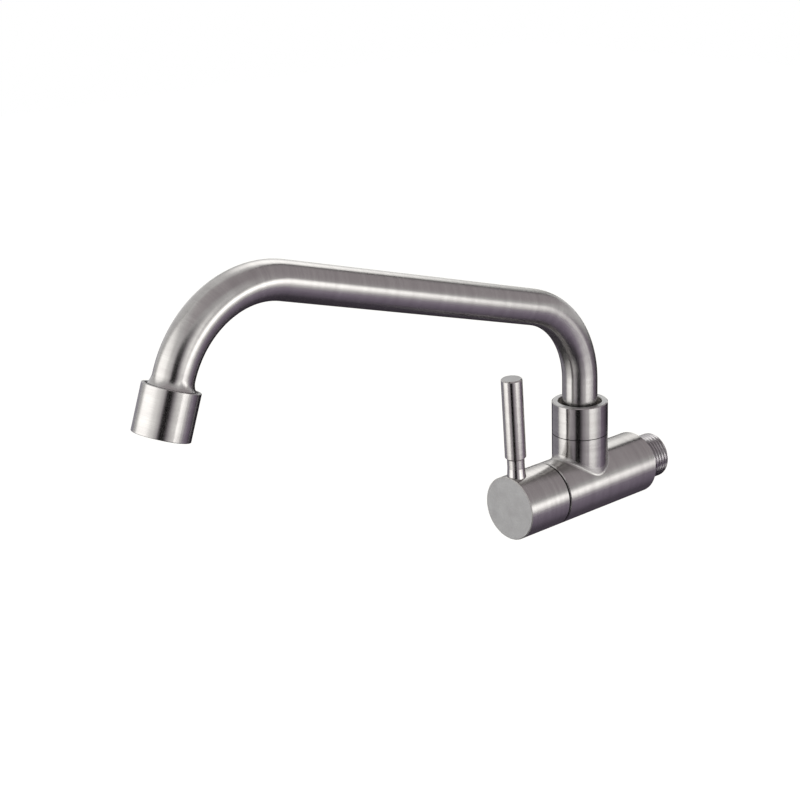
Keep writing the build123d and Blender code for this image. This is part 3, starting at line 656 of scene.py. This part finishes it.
# %% Bent spout tube
outer_ring = tube.edges[:]
first_rim = outer_ring + end_face(outer_ring, tube_foot)
rim = longer(first_rim, Matrix.Translation((0, 0, rise)), rise)
rim = bend(rim, rear_centre, rear_bend, math.radians(90) - slope, steps=30)
rim = longer(rim, Matrix.Translation(run), run.length)
rim = bend(rim, front_centre, front_bend, math.radians(90) + slope - tilt, steps=34)
end_points = {point for edge in rim for point in edge.verts}
tube_end = sum((point.co for point in end_points), Vector()) / len(end_points)
mid_wall = (tube_radius + bore_radius) / 2
end_face([edge for edge in rim if (edge.verts[0].co - tube_end).length > mid_wall], tube_end)
bmesh.ops.remove_doubles(tube, verts=tube.verts, dist=0.01 * mm)
bmesh.ops.recalc_face_normals(tube, faces=tube.faces)
print("tube ends", round((tube_end - outlet_top).length / mm, 3), "mm from the nozzle's start,",
      "steel", round(tube.calc_volume(signed=True) / mm ** 3), "mm3")

# %% [markdown]
# A mesh made with bmesh becomes a piece of the tap in the same few steps each time: hand the mesh
# over, shade it smooth except over sharp edges, give it a finish, let it ride on its body and hide
# the CAD part that it stands for.

# %% From bmesh to a piece
sharp_edge = math.radians(35)


def piece(name, shape, material, body, node):
    """Turn a bmesh into a finished piece that rides on a body and stands for a CAD part."""
    for edge in shape.edges:
        edge.smooth = edge.calc_face_angle(0) < sharp_edge
    for face in shape.faces:
        face.smooth = True
    mesh = bpy.data.meshes.new(name)
    shape.to_mesh(mesh)
    open_edges = sum(not edge.is_manifold for edge in shape.edges)
    shape.free()
    mesh.materials.append(material)
    made = bpy.data.objects.new(name, mesh)
    bpy.context.scene.collection.objects.link(made)
    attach(made, body)
    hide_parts(node)
    print(name, "faces:", len(mesh.polygons), "open edges:", open_edges)


print("edges sharper than", round(math.degrees(sharp_edge)), "degrees stay crisp")

# %% [markdown]
# The tube was brushed straight, before it was bent, with the belt running round it, so its hair
# lines follow the bends. Its steel is the body's, but it asks the mesh where it is: the station
# along the tube stands for the distance along an axis, and the surface's own normal for the way
# out from it.

# %% Finish of the tube
steel_on_tube = new_material("brushed_stainless_tube")
tree = steel_on_tube.node_tree
tube_along = add(tree, "ShaderNodeAttribute", output="Fac", attribute_name="along")
tube_heading = add(tree, "ShaderNodeAttribute", output="Vector", attribute_name="heading")
outward = add(tree, "ShaderNodeNewGeometry", output="Normal")
off_axis = add(tree, "ShaderNodeVectorMath", {0: outward, "Scale": tube_radius},
               operation="SCALE")
tube_lines = hair_lines(tree, 0.0, tube_along, off_axis, hair_line)
metal_shader(tree, tube_lines, round_the_axis(tree, tube_heading, outward),
             steel_dark, steel_light, roughness=0.25, aniso=0.75)
piece("bent_spout_tube", tube, steel_on_tube, "spout", "spout_tube")

# %% [markdown]
# The inlet has a G 1/2 pipe thread: 14 turns to the inch, flanks at 55 degrees, crests and
# roots a little rounded. A thread is a profile that turns and climbs at the same time, which is
# what spin does when it is given an offset with each step. The strip is one pitch wide, so its
# edge lands on the next turn and the two are merged. It starts before the thread does and is
# then cut square at both ends, and its ends are drawn in to a cone, as a thread is chamfered so
# that it starts easily.

# %% Helical inlet thread
pitch, crest, root = 1.814 * mm, 10.4775 * mm, 9.3155 * mm
crest_round = 0.12 * mm
thread_start, thread_end, relief = 1.4 * mm, 14.5 * mm, 9.0 * mm
turns_before, chamfer_slope = 1.2, 1.5
turns, per_turn = 10, 72
thread_profile = [(root, 0.0), (root, 0.08), (crest - crest_round, 0.35), (crest, 0.40),
                  (crest, 0.60), (crest - crest_round, 0.65), (root, 0.92), (root, 1.0)]

thread = bmesh.new()
corners = [thread.verts.new((radius, thread_start + (share - turns_before) * pitch, 0))
           for radius, share in thread_profile]
for first, second in zip(corners, corners[1:]):
    thread.edges.new((first, second))
bmesh.ops.spin(thread, geom=thread.verts[:] + thread.edges[:], cent=(0, 0, 0), axis=(0, 1, 0),
               dvec=(0, pitch / per_turn, 0), angle=-2 * math.pi * turns, steps=turns * per_turn,
               use_merge=False, use_duplicate=False)
bmesh.ops.remove_doubles(thread, verts=thread.verts, dist=0.002 * mm)
for height, side in ((thread_start, -1), (thread_end, 1)):
    bmesh.ops.bisect_plane(thread, geom=thread.verts[:] + thread.edges[:] + thread.faces[:],
                           plane_co=(0, height, 0), plane_no=(0, side, 0), clear_outer=True)
for point in thread.verts:
    radius = math.hypot(point.co.x, point.co.z)
    to_end = min(point.co.y - thread_start, thread_end - point.co.y)
    allowed = relief + chamfer_slope * to_end
    if radius > allowed:
        point.co.x *= allowed / radius
        point.co.z *= allowed / radius
print("thread faces:", len(thread.faces), "turns kept:",
      round((thread_end - thread_start) / pitch, 1))

# %% [markdown]
# The rest of the inlet grows out of the thread's two open ends: at the back of the thread a
# relief and the spigot that is brazed into the body, then the bore all the way through, which
# meets the thread's other end. The thread was cut on a lathe and never brushed, so its steel is
# a little paler and its lines are the tool's.

# %% Relief, spigot and bore
spigot_end, inlet_bore, bore_edge = -8 * mm, 7 * mm, 0.4 * mm
same_height = 0.001 * mm


def boundary(shape, height):
    """The open edges at one height along the pipe."""
    return [edge for edge in shape.edges
            if edge.is_boundary
            and all(abs(point.co.y - height) < same_height for point in edge.verts)]


def drawn(shape, edges, height, radius):
    """Extrude a round open end to another height and radius, and return the new end."""
    grown = bmesh.ops.extrude_edge_only(shape, edges=edges)["geom"]
    for point in (part for part in grown if isinstance(part, bmesh.types.BMVert)):
        factor = radius / math.hypot(point.co.x, point.co.z)
        point.co = (point.co.x * factor, height, point.co.z * factor)
    return [part for part in grown if isinstance(part, bmesh.types.BMEdge)]


inner_end = boundary(thread, thread_start)
outer_end = boundary(thread, thread_end)
for height, radius in ((spigot_end, relief), (spigot_end, inlet_bore),
                       (thread_end - bore_edge, inlet_bore), (thread_end, inlet_bore + bore_edge)):
    inner_end = drawn(thread, inner_end, height, radius)
bmesh.ops.bridge_loops(thread, edges=inner_end + outer_end)
bmesh.ops.recalc_face_normals(thread, faces=thread.faces)
steel_on_thread = turned_metal("turned_stainless_thread", pipe_axis, "#a4a1a3", "#b2afb1",
                               roughness=0.22, aniso=0.6)
piece("threaded_inlet_tail", thread, steel_on_thread, "body", "inlet_tail")

# %% [markdown]
# Inside the outlet sleeve a woven wire mesh breaks the water up. Real wires are about 0.2 mm
# thick and 0.5 mm apart. They are drawn at a wider spacing of 0.9 mm, so that the weave still
# shows. Each wire is a small ring of six points that is extruded step by step and lifted over
# and under the wires that it crosses. The mesh is woven flat about the origin, and is turned
# and moved into the outlet at the end.

# %% One wire of the outlet mesh
mesh_radius, mesh_depth = 8.1 * mm, 20.25 * mm
spacing, wire_radius, wave_height = 0.9 * mm, 0.12 * mm, 0.12 * mm
steps_between_wires, wire_sides = 4, 6
weave = bmesh.new()


def wave_wire(offset, phase, turn):
    """Add one wire of the weave, across the round mesh at that offset from its middle."""
    reach = math.sqrt(mesh_radius ** 2 - offset ** 2)
    steps = max(steps_between_wires, round(2 * reach / (spacing / steps_between_wires)))
    strand = bmesh.new()
    ring = bmesh.ops.create_circle(strand, segments=wire_sides, radius=wire_radius)["verts"]
    bmesh.ops.rotate(strand, verts=ring, matrix=Matrix.Rotation(math.radians(90), 3, "Y"))
    bmesh.ops.translate(strand, verts=ring, vec=(-reach, offset, 0))
    bmesh.ops.spin(strand, geom=strand.verts[:] + strand.edges[:], cent=(0, 0, 0),
                   axis=(1, 0, 0), angle=0, dvec=(2 * reach / steps, 0, 0), steps=steps)
    bmesh.ops.holes_fill(strand, edges=strand.edges[:])
    for point in strand.verts:
        point.co.z += wave_height * math.cos(math.pi * point.co.x / spacing + phase)
    bmesh.ops.rotate(strand, verts=strand.verts, matrix=Matrix.Rotation(turn, 3, "Z"))
    strand_mesh = bpy.data.meshes.new("strand")
    strand.to_mesh(strand_mesh)
    strand.free()
    weave.from_mesh(strand_mesh)
    bpy.data.meshes.remove(strand_mesh)


# A wire at the very edge of the round mesh would have no length, so the last row is left out.
rows_each_side = round(mesh_radius / spacing) - 1
print("wires each way:", 2 * rows_each_side + 1)

# %% [markdown]
# A wire and the next one beside it rise and fall in turn, and the wires across them do the
# same half a wave later: that is all a plain weave needs. A rolled rim holds the cut ends.

# %% Woven outlet mesh
rim_radius, rim_thickness = 7.9 * mm, 0.48 * mm
for row in range(-rows_each_side, rows_each_side + 1):
    wave_wire(row * spacing, math.pi * (row % 2), 0)
    wave_wire(row * spacing, math.pi * ((row + 1) % 2), math.radians(90))
rim_ring = bmesh.ops.create_circle(weave, segments=8, radius=rim_thickness / 2)["verts"]
bmesh.ops.rotate(weave, verts=rim_ring, matrix=Matrix.Rotation(math.radians(90), 3, "X"))
bmesh.ops.translate(weave, vec=(rim_radius, 0, 0), verts=rim_ring)
bmesh.ops.spin(weave, geom=rim_ring + list({e for v in rim_ring for e in v.link_edges}),
               cent=(0, 0, 0), axis=(0, 0, 1), angle=2 * math.pi, steps=64, use_merge=True,
               use_duplicate=False)
bmesh.ops.recalc_face_normals(weave, faces=weave.faces)
down = outlet_axis[1]
side = Vector((1, 0, 0))
outlet_frame = Matrix((side, down.cross(side), down)).transposed().to_4x4()
bmesh.ops.transform(weave, verts=weave.verts, matrix=(
    Matrix.Translation(outlet_top + down * mesh_depth) @ outlet_frame))
# Drawn wire is smooth and never brushed, so it glints without streaks.
steel_wire = turned_metal("woven_stainless_wire", outlet_axis, "#8f8d8b", "#b2b0ad",
                          roughness=0.30, aniso=0.0, pitch=0.15 * mm)
piece("woven_outlet_mesh", weave, steel_wire, "spout", "aerator_mesh")

# %% [markdown]
# What is left is seen through gaps, or only when the tap is opened: acetal rings, rubber seals,
# ceramic discs and brass. Moulded and ground parts have no direction, so their grain is plain
# noise: a fine one for the mould's or the grinder's texture and a slow one for the cloudy
# difference in shine that handling leaves.

# %% A moulded or ground finish
cloud_size = 6 * mm
grain_relief = 0.05 * mm


def moulded(name, dark, light, roughness, grain, bump, ior):
    """A part without tool lines, with a grain of that size in metres."""
    material = new_material(name)
    tree = material.node_tree
    place = add(tree, "ShaderNodeTexCoord", output="Object")
    fine = add(tree, "ShaderNodeTexNoise", {"Vector": place, "Scale": 1 / grain, "Detail": 3.0})
    cloud = add(tree, "ShaderNodeTexNoise", {"Vector": place, "Scale": 1 / cloud_size,
                                             "Detail": 2.0})
    colour = add(tree, "ShaderNodeMix", {0: cloud, 6: linear(dark), 7: linear(light)},
                 data_type="RGBA", output=2)
    rough = add(tree, "ShaderNodeMapRange", {"Value": cloud, "From Min": 0.3, "From Max": 0.7,
                                             "To Min": roughness - 0.05,
                                             "To Max": roughness + 0.05})
    relief = add(tree, "ShaderNodeBump", {"Height": fine, "Strength": bump,
                                          "Distance": grain_relief})
    shader = add(tree, "ShaderNodeBsdfPrincipled", {
        "Base Color": colour, "Roughness": rough, "Normal": relief, "IOR": ior,
    })
    add(tree, "ShaderNodeOutputMaterial", {"Surface": shader})
    return material


acetal, nitrile, alumina = 1.48, 1.52, 1.76
print("index of refraction:", {"acetal": acetal, "nitrile": nitrile, "alumina": alumina})

# %% [markdown]
# Each finish starts from what the real part is made of, with the index of refraction, the
# roughness and the metal colour that are usual for it.

# %% Finishes of the inner parts
brass = {"dark": "#b08d4c", "light": "#cda964"}
finishes = {
    # Black acetal from a fine mould: a waxy half shine that reads as a dark line behind the knob.
    "black_pom": moulded("black_acetal_moulded", "#121214", "#1c1c1f", 0.42, 0.4 * mm, 0.10,
                         acetal),
    # Undyed acetal is milky white, and a little of the same waxy shine keeps it from looking dry.
    "pale_pom": moulded("natural_acetal_moulded", "#dbd9d2", "#e8e6e0", 0.40, 0.4 * mm, 0.10,
                        acetal),
    # Nitrile rubber from a mould: soft black, with no clear reflection at all.
    "black_rubber": moulded("nitrile_rubber_moulded", "#161616", "#222222", 0.70, 0.3 * mm, 0.20,
                            nitrile),
    # Lapped ceramic: warm white and ground very flat, so it shows a soft, even reflection.
    "alumina_ceramic": moulded("alumina_ceramic_lapped", "#e4ded2", "#efeae0", 0.22, 0.2 * mm,
                               0.05, alumina),
    # Hardened and oiled spring steel: a dark metal with a dull, even shine.
    "spring_steel": turned_metal("spring_steel_oiled", pipe_axis, "#5d5b5a", "#777472",
                                 roughness=0.32, aniso=0.2),
    # Brass straight from the lathe: warm yellow, with the tool's rings in its highlights.
    "brass": turned_metal("turned_brass", pipe_axis, roughness=0.26, aniso=0.5, **brass),
}
brass_on_stub = turned_metal("turned_brass_foot", stub_axis, roughness=0.26, aniso=0.5, **brass)
print("other finishes:", list(finishes))

# %% [markdown]
# Every CAD part that still shows takes the finish of its slot in the record, and the steel
# parts take the one whose lines run round their own axis. A part that a remade piece stands for
# is hidden, and takes that piece's finish too.

# %% Give the CAD parts their finish
own_finish = {
    "body": steel_on_body, "handle_cap": steel_on_pipe, "lever_rod": lighter_steel_on_lever,
    "collar_nut": steel_on_stub, "spout_foot": brass_on_stub,
    "spout_nozzle": steel_on_outlet, "aerator_housing": steel_on_outlet,
    "inlet_tail": steel_on_thread, "spout_tube": steel_on_tube, "aerator_mesh": steel_wire,
}
for part in frame["record"]["subparts"]:
    node = frame["nodes"][part["node"]]
    node.data.materials.clear()
    node.data.materials.append(
        own_finish.get(part["node"]) or finishes[part["material_slot"]]
    )
print("dressed nodes:", sum(len(node.data.materials) for node in frame["nodes"].values()))
